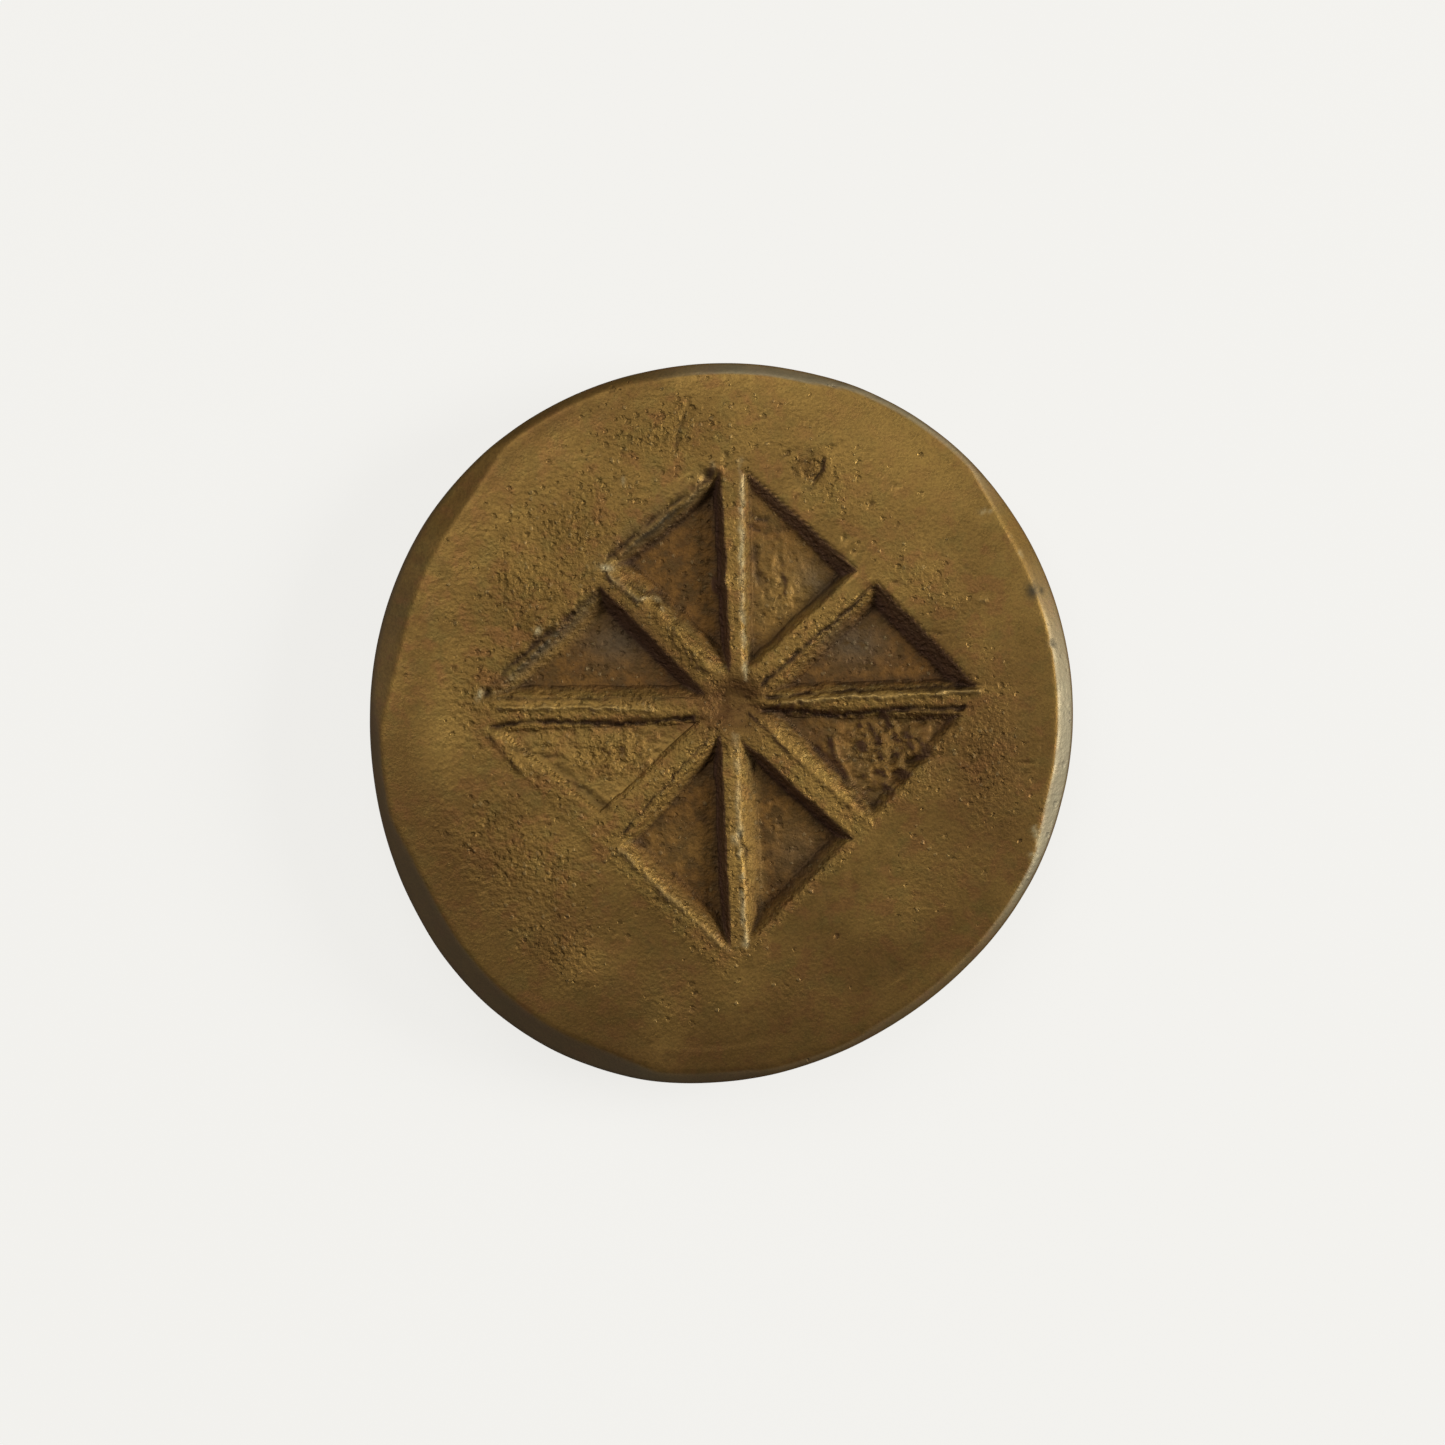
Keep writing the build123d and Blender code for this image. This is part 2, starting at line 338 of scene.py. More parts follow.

# Tints: where the metal is golden, where it is darker brown, and where it is grey-green. The golden
# patches on slopes and arrises that face the lights and on the upper-right rim are painted light; the
# others are metal rubbed golden. The brown lies mostly towards the bottom and the right.
GOLD_PATCHES = [
    Patch(0.75, -6.6, 5.6, 0.8, 90, 1.1),
    Patch(4.8, -2.8, 5.0, 0.5, -43, 1.0),
    Patch(0.8, 8.0, 6.0, 0.6, 90, 0.25),
    Patch(7.6, 1.37, 4.6, 0.25, 2.5, 3.0),
    Patch(-7.6, 0.70, 4.2, 0.24, -1, 2.6),
    Patch(-9.5, 1.10, 2.2, 0.50, 0, 0.9),
    Patch(1.4, -8.0, 5.0, 0.35, 86, 1.2),
    Patch(8.0, 14.5, 7.0, 4.0, -35, 0.8),
    Patch(-14.6, -0.7, 1.3, 2.1, -15, 1.4),
    Patch(3.4, 6.6, 2.6, 2.2, 90, 0.9),
    Patch(-6.8, -1.9, 4.0, 1.6, -10, 0.7),
    Patch(-9.5, 12.5, 6.5, 3.5, 45, 0.5),
    Patch(7.2, -7.0, 2.4, 1.2, 45, 0.5),
    Patch(0.9, -13.8, 2.0, 1.3, 90, 0.8),
    Patch(-7.0, -12.6, 1.8, 1.2, 20, 0.8),
    Patch(-3.0, -16.1, 1.8, 1.2, 80, 0.7),
    Patch(6.2, 16.6, 7.5, 1.3, -20, 1.0),
    Patch(10.2, 14.2, 7.0, 1.8, -40, 1.3),
    Patch(15.6, 8.2, 5.5, 1.4, -60, 0.6),
    Patch(-2.4, 4.3, 2.6, 0.5, -48, 1.0),
    Patch(1.75, -6.6, 5.0, 0.40, -85, 0.8),
    Patch(-2.7, -9.4, 4.2, 0.28, -43, 1.3),
    Patch(-3.1, -4.2, 3.4, 0.40, 50, 0.7),
    Patch(-2.6, -6.6, 2.4, 1.6, 0, 0.35),
    Patch(3.6, -6.0, 1.8, 2.4, 0, 0.25),
    Patch(-8.6, 4.0, 3.6, 0.30, 40, 0.8),
    Patch(9.4, -2.2, 3.4, 1.6, -30, 0.4),
]
BROWN_PATCHES = [
    Patch(0.5, -19.0, 22.0, 9.5, 0, 0.95),
    Patch(-14.0, -7.5, 9.0, 4.0, -58, 0.9),
    Patch(13.5, -3.0, 8.0, 4.5, 90, 0.95),
    Patch(12.0, 3.5, 3.0, 4.0, 0, 0.6),
    Patch(0.6, 0.9, 2.2, 1.8, 0, 2.2),
    Patch(-4.0, 4.6, 4.0, 0.8, -45, 1.3),
    Patch(4.4, 13.5, 1.0, 0.8, 0, 1.2),
    Patch(-14.0, 11.0, 6.0, 2.5, 50, 0.5),
    Patch(9.0, 10.5, 3.0, 3.0, -45, 0.4),
    Patch(-7.2, 16.9, 5.0, 1.5, 24, 0.45),
    # painted shade over the crest of the upper-left rim
    Patch(-9.2, 15.9, 3.0, 0.7, 30, 1.3),
    Patch(-12.0, 13.5, 4.5, 0.8, 42, 0.9),
    Patch(-8.5, -12.5, 5.0, 3.0, -35, 0.9),
    Patch(8.5, -13.0, 5.0, 3.0, 35, 0.85),
]
GREEN_PATCHES = [
    Patch(-5.6, 4.3, 1.8, 1.2, 0, 0.8),
    Patch(7.0, 4.2, 1.8, 1.2, 0, 0.8),
    Patch(5.0, 7.4, 1.2, 0.8, -40, 0.7),
    Patch(-3.55, 10.75, 3.2, 0.60, 39, 1.4),
    Patch(-9.4, 4.1, 3.8, 0.40, 42, 1.0),
    Patch(4.0, -7.0, 1.5, 1.5, 0, 0.4),
    Patch(16.4, 7.2, 0.45, 0.30, 0, 1.0),
]

# Where the filed rim is pale: bare metal, with painted highlight where it faces the lights. The middle
# of each stretch, how far to each side of it the rim is wholly pale and where it is covered again, and
# how pale the stretch is.
PaleRimStretch = namedtuple("PaleRimStretch", "azimuth whole none amount")
PALE_RIM_STRETCHES = [
    PaleRimStretch(azimuth=-9, whole=10, none=42, amount=1.0),
    PaleRimStretch(azimuth=70, whole=14, none=36, amount=0.75),
    PaleRimStretch(azimuth=-72, whole=25, none=45, amount=0.20),
]

# Lines wander a little, and their strength comes and goes.
LINE_WANDER = 0.08
LINE_WANDER_CELL = 0.36
LINE_STRENGTH_CELL = 0.6
DARKEST_CREVICE_DEPTH = 0.15  # of a crevice that is painted darkest, as shade in it

# Roughness of the sand-cast skin, from 0 to 1.
QUIET_GRAIN = 0.03  # of the face away from its rough patches
GRAIN_REACH = 15.5  # from the middle to where no rib, slope or floor counts any more
RIB_GRAIN = 0.60
SLOPE_GRAIN = 0.85
FLOOR_GRAIN = 0.46
WALL_GRAIN = 0.40
BARE_GRAIN = 0.30

# Sizes of the skin's relief.
LUMP_HEIGHT = 0.25  # in the lumpy patches
LUMP_CELL = 0.5
GRAIN_HEIGHT = 0.006
GRAIN_CELL = 0.55
PIT_DEPTH = 0.030
PIT_CELL = 0.36
FINE_PIT_CELL = 0.22
SWELL_HEIGHT = 0.016  # of the slow swellings all over
SWELL_CELL = 4.0


def patch_amount(x, y, patch):
    """How much of one patch there is at each point, from its amount at its middle to nothing."""
    turn = radians(patch.turn)
    u = (x - patch.x) * cos(turn) + (y - patch.y) * sin(turn)
    v = (y - patch.y) * cos(turn) - (x - patch.x) * sin(turn)
    return patch.amount * np.exp(-((u / patch.long) ** 2) - (v / patch.short) ** 2)


def patches_amount(x, y, patches):
    """The strongest patch at each point."""
    return np.max([patch_amount(x, y, patch) for patch in patches], axis=0)


def line_distance(x, y, points):
    """Distance from each point to a run of straight pieces."""
    nearest = np.full(x.shape, np.inf)
    for (ax, ay), (bx, by) in zip(points, points[1:]):
        length = hypot(bx - ax, by - ay)
        ux, uy = (bx - ax) / length, (by - ay) / length
        along = np.clip((x - ax) * ux + (y - ay) * uy, 0, length)
        nearest = np.minimum(nearest, np.hypot(x - ax - along * ux, y - ay - along * uy))
    return nearest


def line_marks(x, y, amount):
    """Sum over the lines of an amount for each, fading to its sides. The lines wander and come and go."""
    x = x + LINE_WANDER * layered_noise(x, y, LINE_WANDER_CELL, 31, 2)
    y = y + LINE_WANDER * layered_noise(x, y, LINE_WANDER_CELL, 41, 2)
    strength = np.clip(0.85 + 0.5 * layered_noise(x, y, LINE_STRENGTH_CELL, 51, 2), 0.45, 1.25)
    total = np.zeros_like(x)
    for line in LINES:
        if amount(line):
            total += amount(line) * np.exp(-(line_distance(x, y, line.points) / line.width) ** 2)
    return total * strength


def line_height(line):
    """How far a line stands out of the face, or is sunk in it."""
    return line.height


def line_shine(line):
    """How far a line's crest is rubbed bright, partly a painted highlight."""
    return line.shine


def line_shade(line):
    """How dark a crevice is painted, as shade in it. A rubbed edge gets none."""
    return 0 if line.shine else max(0, -line.height) / DARKEST_CREVICE_DEPTH


def grain_zone(x, y, sunk):
    """How rough the casting's skin is: most on the pockets' slopes, least where the face is worn."""
    patchy = 0.85 + 0.25 * layered_noise(x, y, 2.2, 61, 2)
    face = QUIET_GRAIN + patches_amount(x, y, ROUGH_PATCHES) * patchy
    inside = ramp(np.abs(x) + np.abs(y), 14.5, 13.0)  # of the lozenge
    ribs = RIB_GRAIN * inside * ramp(sunk, 0.35, 0.10)
    steep = SLOPE_GRAIN * ramp(sample(STEEPNESS_MAP, x, y), 0.25, 0.6)
    smooth = 0.6 * np.clip(patches_amount(x, y, GREEN_PATCHES), 0, 1)  # patina fills the grain
    slopes = steep * ramp(sunk, 0.03, 0.12) * (1 - smooth)
    floors = FLOOR_GRAIN * ramp(sunk, 0.10, 0.35)
    pattern = np.max([face, ribs, slopes, floors], axis=0)
    return np.clip(np.where(np.hypot(x, y) < GRAIN_REACH, pattern, face), 0, 1)


def skin(x, y, grain):
    """Height of the sand-cast skin's lumps, pits and slow swellings."""
    lumps = GRAIN_HEIGHT * lattice_noise(x, y, GRAIN_CELL, 71)
    pit_noise = lattice_noise(x, y, PIT_CELL, 81) + 0.4 * lattice_noise(x, y, FINE_PIT_CELL, 82)
    pits = -PIT_DEPTH * ramp(pit_noise, 0.60, 1.0)
    swell = SWELL_HEIGHT * layered_noise(x, y, SWELL_CELL, 91, 2)
    return grain * (lumps + pits) + swell


# --- points of the mesh ---------------------------------------------------------------------------
def rim_radius(azimuth):
    """Radius of the side wall at an azimuth, read from the CAD at mid-height."""
    direction = Vector((cos(azimuth), sin(azimuth), 0))
    start = direction * RAY_LENGTH + Vector((0, 0, SKELETON_HEIGHT))
    hit = cad_tree.ray_cast(start, -direction)[0]
    return hypot(hit.x, hit.y)


RIM_AZIMUTHS = 2 * pi * np.arange(RIM_COUNT) / RIM_COUNT
INNER_RADII = np.array([rim_radius(a) for a in RIM_AZIMUTHS]) - RIM_BAND


def face_grid():
    """A square grid of points laid over the disc inside the rim band, ring by ring."""
    steps = np.arange(-FACE_RINGS, FACE_RINGS + 1) / FACE_RINGS
    a, b = np.meshgrid(steps, steps, indexing="ij")
    wide = np.abs(a) > np.abs(b)
    reach = np.where(wide, a, b)
    share = np.divide(np.where(wide, b, a), reach, out=np.zeros_like(a), where=reach != 0)
    turn = np.where(wide, share * pi / 4, pi / 2 - share * pi / 4)
    reach = reach * (1 - FINER_MIDDLE * (1 - reach**2))
    x = reach * np.cos(turn)
    y = reach * np.sin(turn)
    scale = np.interp(np.arctan2(y, x), RIM_AZIMUTHS, INNER_RADII, period=2 * pi)
    return x * scale, y * scale


def section_elevations():
    """Directions of a rim section's rays: close together over the filed band and the worn edge."""
    band_end, wall_top, wall_foot = 42, 22, -40
    filed_band = np.linspace(90, band_end, 17)
    shoulder = np.linspace(band_end, wall_top, 7)[1:]
    wall = np.linspace(wall_top, wall_foot, 6)[1:]
    back_edge = np.linspace(wall_foot, -90, 7)[1:]
    return np.radians(np.concatenate([filed_band, shoulder, wall, back_edge]))


def rim_rings():
    """Rings of points round the rim of the CAD, from the face's edge to the back's."""
    sections = []
    for azimuth, inner in zip(RIM_AZIMUTHS, INNER_RADII):
        along = Vector((cos(azimuth), sin(azimuth), 0))
        start = along * inner + Vector((0, 0, SKELETON_HEIGHT))
        rays = [along * cos(e) + Vector((0, 0, sin(e))) for e in section_elevations()]
        sections.append([cad_tree.ray_cast(start, ray)[0] for ray in rays])
    return np.array(sections).transpose(1, 0, 2)


def softened(rings):
    """Rim rings with their sharp edges worn: each point moves towards its neighbours' middle."""
    for _ in range(RIM_SMOOTHINGS):
        around = (np.roll(rings, 1, axis=1) + np.roll(rings, -1, axis=1)) / 2
        across = (rings[:-2] + rings[2:]) / 2
        rings[1:-1] += RIM_PULL * ((around[1:-1] + across) / 2 - rings[1:-1])
    return rings


def face_heights(x, y):
    """Height of the finished face at each point, and how far it is sunk below the crown."""
    worn = np.clip(patches_amount(x, y, WORN_PATCHES), 0, 1)
    cast = sample(SOFT_MAP, x, y) * (1 - worn) + sample(WORN_MAP, x, y) * worn
    sunk = THICKNESS - CROWN * (x**2 + y**2) / HALF_SIZE**2 - cast
    lumpy = patches_amount(x, y, LUMPY_PATCHES) * ramp(sunk, 0.0, 0.25)
    heights = cast + line_marks(x, y, line_height) + sum(patch_amount(x, y, bump) for bump in BUMPS)
    heights += LUMP_HEIGHT * lumpy * layered_noise(x, y, LUMP_CELL, 101)
    return heights + skin(x, y, grain_zone(x, y, sunk)), sunk


# --- the piece ------------------------------------------------------------------------------------
def equal_rings(outer, inner):
    """Quads between two rings with the same number of points."""
    return np.stack([outer, inner, np.roll(inner, -1), np.roll(outer, -1)], 1).tolist()


def halved_rings(outer, inner):
    """Triangles and quads between a ring and one with half as many points."""
    faces = []
    for k in range(len(inner)):
        a, b, c = outer[2 * k], outer[2 * k + 1], outer[(2 * k + 2) % len(outer)]
        d, e = inner[k], inner[(k + 1) % len(inner)]
        faces += [(a, d, b), (b, d, e, c)]
    return faces


def face_part():
    """Points and quads of the face, and the loop of its outermost points in order of azimuth."""
    x, y = face_grid()
    z, _ = face_heights(x, y)
    points = np.stack([x.ravel(), y.ravel(), z.ravel()], 1)
    index = np.arange(x.size).reshape(x.shape)
    quads = np.stack([index[:-1, :-1], index[1:, :-1], index[1:, 1:], index[:-1, 1:]], -1)
    edge = np.concatenate([index[-1, :-1], index[:0:-1, -1], index[0, :0:-1], index[:-1, 0]])
    azimuths = np.arctan2(points[edge, 1], points[edge, 0]) % (2 * pi)
    return points, quads.reshape(-1, 4).tolist(), edge[np.argsort(azimuths)]


def rim_part():
    """Rings of points from the filed band round to the back, with the skin's relief and the lines."""
    rings = softened(rim_rings())
    start = rings[0]
    azimuths = np.arctan2(start[:, 1], start[:, 0])
    steps = np.linalg.norm(np.diff(rings, axis=0), axis=2)
    walked = np.concatenate([np.zeros((1, RIM_COUNT)), steps.cumsum(0)])
    reach = np.hypot(start[:, 0], start[:, 1]) + walked  # as if the rim were rolled out flat
    x, y = reach * np.cos(azimuths), reach * np.sin(azimuths)
    outwards = rings - rings.mean(1, keepdims=True)
    outwards[..., 2] = rings[..., 2] - SKELETON_HEIGHT
    outwards /= np.linalg.norm(outwards, axis=2, keepdims=True)
    relief = skin(x, y, grain_zone(x, y, np.zeros_like(x))) + line_marks(x, y, line_height)
    above_back = ramp(rings[..., 2], 0.0, 0.4)
    rings += outwards * (relief * above_back)[..., None]
    return rings[1:]


def back_part(points, ring):
    """Points and faces that close the back, with fewer points in each ring towards its middle."""
    faces = []
    share = 1.0
    while len(ring) % 2 == 0:
        share -= BACK_STEP
        edge = points[ring][::2]
        inner = np.arange(len(points), len(points) + len(edge))
        points = np.concatenate([points, edge * (share, share, 0)])
        faces += halved_rings(ring, inner)
        ring = inner
    middle = len(points)
    points = np.concatenate([points, [[0, 0, 0]]])
    faces += [(int(a), middle, int(b)) for a, b in zip(ring, np.roll(ring, -1))]
    return points, faces


def build_token():
    """The whole casting as one closed, smooth-shaded mesh."""
    points, faces, edge = face_part()
    rim = rim_part()
    rings = len(points) + np.arange(rim[..., 0].size).reshape(rim.shape[:2])
    points = np.concatenate([points, rim.reshape(-1, 3)])
    faces += halved_rings(edge, rings[0])
    for outer, inner in zip(rings, rings[1:]):
        faces += equal_rings(outer, inner)
    points, back = back_part(points, rings[-1])
    mesh = bpy.data.meshes.new("cast_token")
    mesh.from_pydata((points * MM).tolist(), [], faces + back)
    mesh.shade_smooth()
    piece = bpy.data.objects.new("cast_token", mesh)
    bpy.context.scene.collection.objects.link(piece)
    return piece


# --- what the material is told about each point ---------------------------------------------------
# Painted shade: the side that the lights stand on. Slopes that face away from it are coloured darker.
LIT_SIDE = Vector((0.9, 0.44))
DEEP_HOLLOW = 0.03  # how far a point lies below its neighbours where it is darkest
DEEP_CORNER = 0.3  # how far the darkest corner lies below its surroundings
FACE_REACH = 15.8  # from the middle to where the face's own marks begin to fade
FADED_REACH = 16.8
FILED_START = HALF_SIZE - 2.2  # from the middle to where filing may begin
FILED_FULL = HALF_SIZE - 1.0


def add_attribute(mesh, name, values):
    """One number at each point, for the material to read."""
    attribute = mesh.attributes.new(name, "FLOAT", "POINT")
    attribute.data.foreach_set("value", np.ascontiguousarray(values, dtype=np.float32))


def neighbour_mean(values, edges):
    """Mean of each point's neighbours along the mesh's edges."""
    count = np.bincount(edges.ravel(), minlength=len(values))
    total = np.bincount(edges[:, 0], values[edges[:, 1]], len(values))
    total += np.bincount(edges[:, 1], values[edges[:, 0]], len(values))
    return total / count


def read_mesh(mesh):
    """Points in millimetres, normals and edges, as arrays."""
    points = np.empty(len(mesh.vertices) * 3)
    mesh.vertices.foreach_get("co", points)
    normals = np.empty(len(mesh.vertices) * 3)
    mesh.vertices.foreach_get("normal", normals)
    edges = np.empty(len(mesh.edges) * 2, dtype=int)
    mesh.edges.foreach_get("vertices", edges)
    return points.reshape(-1, 3) / MM, normals.reshape(-1, 3), edges.reshape(-1, 2)


def hollow_depths(points, normals, edges):
    """How far each point lies below its neighbours, evened out over the points near it."""
    around = np.stack([neighbour_mean(axis, edges) for axis in points.T], 1)
    hollow = ((around - points) * normals).sum(1)
    for _ in range(2):
        hollow = neighbour_mean(hollow, edges)
    return hollow


def rim_shares(x, y, level):
    """How far each point belongs to the filed rim, and how pale it is there: bare metal with painted
    highlight.
    """
    filed = ramp(np.hypot(x, y), FILED_START, FILED_FULL) * ramp(level, 0.98, 0.90)
    azimuth = np.degrees(np.arctan2(y, x))
    pale_rim = np.max([stretch.amount * ramp(np.abs(azimuth - stretch.azimuth), stretch.none, stretch.whole)
                    for stretch in PALE_RIM_STRETCHES], axis=0)
    bare_and_lit = pale_rim * filed * ramp(level, 0.38, 0.64) * ramp(level, 0.98, 0.87)
    return filed, bare_and_lit


def describe_surface(mesh):
    """Numbers for the material at each point, most of them from 0 to 1."""
    points, normals, edges = read_mesh(mesh)
    x, y, _ = points.T
    level = normals[:, 2]  # 1 where the surface looks up, 0 on the side wall, -1 on the back
    facing_up = level > 0
    on_face = ramp(np.hypot(x, y), FADED_REACH, FACE_REACH) * facing_up
    sunk = np.clip(face_heights(x, y)[1], 0, 1) * on_face
    # Painted shade: how far a point lies below its blurred surroundings, at the foot of the pockets' walls.
    corner = sample(BROAD_MAP, x, y) - sample(SOFT_MAP, x, y)
    # Rubbed metal and painted highlights on arrises and small spots.
    shine = line_marks(x, y, line_shine) + sum(patch_amount(x, y, painted_glint) for painted_glint in PAINTED_GLINTS)
    # Painted shade: how far each slope faces away from the lights.
    painted_shade = ramp(-(LIT_SIDE.x * normals[:, 0] + LIT_SIDE.y * normals[:, 1]), 0.20, 0.60)
    filed, bare_and_lit = rim_shares(x, y, level)
    wall = ramp(level, 0.45, 0.10)
    upper = ramp(level, 0.0, 0.4)
    back = ramp(level, 0.0, -0.4)
    grain = np.max([grain_zone(x, y, sunk), WALL_GRAIN * wall, BARE_GRAIN * bare_and_lit], axis=0)
    add_attribute(mesh, "sunk", sunk)
    add_attribute(mesh, "grain", grain * (1 - back) + WALL_GRAIN * back)
    add_attribute(mesh, "hollow", hollow_depths(points, normals, edges) / DEEP_HOLLOW)
    add_attribute(mesh, "corner", corner / DEEP_CORNER * on_face)
    add_attribute(mesh, "crevice", np.clip(line_marks(x, y, line_shade), 0, 1) * on_face)
    add_attribute(mesh, "shine", np.clip(shine, 0, 1) * facing_up)
    add_attribute(mesh, "filed", filed)
    add_attribute(mesh, "bare_and_lit", bare_and_lit)
    # Painted shade tone: the filed rim where it faces away from the lights.
    add_attribute(mesh, "shade_side_rim", filed * painted_shade)
    add_attribute(mesh, "painted_shade", painted_shade * (0.15 + 0.85 * on_face))
    add_attribute(mesh, "wall", wall)
    add_attribute(mesh, "stain", patches_amount(x, y, STAINS) * facing_up)
    add_attribute(mesh, "gold", patches_amount(x, y, GOLD_PATCHES) * upper)
    add_attribute(mesh, "brown", patches_amount(x, y, BROWN_PATCHES) * upper)
    add_attribute(mesh, "green", patches_amount(x, y, GREEN_PATCHES) * ramp(sunk, -0.05, 0.1))


# --- materials ------------------------------------------------------------------------------------
def new_material(name):
    """A new node material, with its node tree and its shader node."""
    material = bpy.data.materials.new(name)
    material.use_nodes = True
    return material, material.node_tree, material.node_tree.nodes["Principled BSDF"]


class Graph:
    """Short calls for the nodes of one material or world."""

    def __init__(self, tree):
        self.tree = tree

    @cached_property
    def place(self):
        """Where each point is in the object, in metres."""
        return self.node("ShaderNodeTexCoord").outputs["Object"]

    def node(self, kind, **settings):
        """A new node with some of its settings changed."""
        made = self.tree.nodes.new(kind)
        for name, value in settings.items():
            setattr(made, name, value)
        return made

    def plug(self, value, socket):
        """Sets a socket to a number or colour, or links it to another node's output."""
        if isinstance(value, bpy.types.NodeSocket):
            self.tree.links.new(value, socket)
        else:
            socket.default_value = value

    def attribute(self, name):
        """One of the numbers that describe_surface wrote at each point."""
        return self.node("ShaderNodeAttribute", attribute_name=name).outputs["Fac"]

    def noise(self, size_mm, detail=3.0, offset=0.0, roughness=0.55):
        """Noise from about 0 to 1, with features of a size in millimetres."""
        moved = self.node("ShaderNodeVectorMath", operation="ADD")
        self.plug(self.place, moved.inputs[0])
        moved.inputs[1].default_value = (offset, offset, offset)
        made = self.node("ShaderNodeTexNoise")
        self.plug(moved.outputs[0], made.inputs["Vector"])
        made.inputs["Scale"].default_value = 1 / (size_mm * MM)
        made.inputs["Detail"].default_value = detail
        made.inputs["Roughness"].default_value = roughness
        return made.outputs["Fac"]

    def crooked_place(self, size_mm, reach_mm):
        """Places pushed about by noise, so that what is laid on them comes out uneven."""
        noise = self.node("ShaderNodeTexNoise")
        self.plug(self.place, noise.inputs["Vector"])
        noise.inputs["Scale"].default_value = 1 / (size_mm * MM)
        centred = self.node("ShaderNodeVectorMath", operation="SUBTRACT")
        self.plug(noise.outputs["Color"], centred.inputs[0])
        centred.inputs[1].default_value = (0.5, 0.5, 0.5)
        push = self.node("ShaderNodeVectorMath", operation="SCALE")
        self.plug(centred.outputs[0], push.inputs[0])
        push.inputs["Scale"].default_value = 2 * reach_mm * MM
        moved = self.node("ShaderNodeVectorMath", operation="ADD")
        self.plug(self.place, moved.inputs[0])
        self.plug(push.outputs[0], moved.inputs[1])
        return moved.outputs[0]

    def dots(self, place, kind, share):
        """Scattered dots with soft edges, in a share of the cells: 1 in the middle of a dot, 0 outside."""
        cells = self.node("ShaderNodeTexVoronoi")
        self.plug(place, cells.inputs["Vector"])
        cells.inputs["Scale"].default_value = 1 / (kind.spacing * MM)
        chance = self.node("ShaderNodeSeparateColor")
        self.plug(cells.outputs["Color"], chance.inputs[0])
        chosen = self.math("LESS_THAN", chance.outputs[0], share)
        smallest, largest = kind.smallest / kind.spacing, kind.largest / kind.spacing
        radius = self.remap(chance.outputs[1], 0.0, 1.0, smallest, largest)
        dot = self.remap(cells.outputs["Distance"], radius, self.math("MULTIPLY", radius, 0.3))
        return self.math("MULTIPLY", dot, chosen)

    def remap(self, value, start, end, to_start=0.0, to_end=1.0):
        """A smooth step from one value to another as a number goes from its start to its end."""
        made = self.node("ShaderNodeMapRange", interpolation_type="SMOOTHSTEP")
        self.plug(value, made.inputs["Value"])
        limits = {"From Min": start, "From Max": end, "To Min": to_start, "To Max": to_end}
        for socket, limit in limits.items():
            self.plug(limit, made.inputs[socket])
        return made.outputs["Result"]

    def math(self, operation, first, second):
        """The result of one sum on two numbers."""
        made = self.node("ShaderNodeMath", operation=operation)
        self.plug(first, made.inputs[0])
        self.plug(second, made.inputs[1])
        return made.outputs[0]

    def mix(self, share, first, second):
        """Colour between two colours."""
        made = self.node("ShaderNodeMix", data_type="RGBA")
        self.plug(share, made.inputs["Factor"])
        self.plug(first, made.inputs["A"])
        self.plug(second, made.inputs["B"])
        return made.outputs["Result"]

    def cover(self, colour, cover, share, amount):
        """A colour with another laid over it, as thickly as the share times the amount."""
        return self.mix(self.math("MULTIPLY", share, amount), colour, cover)


# --- the brass ------------------------------------------------------------------------------------
OLIVE_BRASS = (0.232, 0.134, 0.036, 1)
GOLDEN_BRASS = (0.385, 0.232, 0.060, 1)
BARE_AND_LIT_BRASS = (0.44, 0.405, 0.280, 1)  # filed last, and painted highlight where the rim faces the lights
SHADE_SIDE_RIM_GREY = (0.300, 0.230, 0.150, 1)  # painted shade tone of the filed rim's side away from the lights
CREAM_CREST = (0.470, 0.390, 0.210, 1)  # of a rubbed arris, partly painted highlight
PALE_CRUMB_HIGHLIGHT = (0.370, 0.285, 0.140, 1)
RED_TINT = (0.270, 0.120, 0.042, 1)
GREEN_TINT = (0.205, 0.145, 0.040, 1)
DARK_BROWN_TONE = (0.115, 0.055, 0.018, 1)
RED_PATINA = (0.158, 0.068, 0.015, 1)  # this and the dark one cover the pockets' floors
DARK_PATINA = (0.082, 0.043, 0.013, 1)
GREEN_PATINA = (0.085, 0.073, 0.048, 1)
# Painted shade: the colour of slopes that face away from the lights.
PAINTED_SHADE_BROWN = (0.128, 0.066, 0.042, 1)
STAIN = (0.060, 0.052, 0.034, 1)
# Dark colour of dirt, and of painted shade in corners, crevices, hollows, pits and on the side wall.
DARK_DIRT_AND_SHADE = (0.034, 0.019, 0.012, 1)

# Small dots in the skin, in millimetres: how far apart they are, and their smallest and largest radius.
Dots = namedtuple("Dots", "spacing smallest largest")
PITS = Dots(spacing=0.42, smallest=0.10, largest=0.24)
CRUMBS = Dots(spacing=0.33, smallest=0.07, largest=0.16)
HOLES = Dots(spacing=0.75, smallest=0.10, largest=0.20)

# Heights and depths of the relief that is bump only, in millimetres.
SAND_BUMP = 0.22
FINE_BUMP = 0.010
CRUMB_BUMP = 0.030
SMOOTH_PIT_BUMP = 0.025  # of a pit where the skin is smooth
ROUGH_PIT_BUMP = 0.075
HOLE_BUMP = 0.045

SMOOTH_ROUGHNESS = 0.44  # of the surface where the skin is smooth
GRAIN_ROUGHNESS = 0.66
FILED_ROUGHNESS = 0.20  # more on the filed rim
FACE_METALLIC = 0.85
FLOOR_METALLIC = 0.45  # in the pockets, under their crust

Patterns = namedtuple("Patterns", "grain mottle sand fine pit crumb hole")


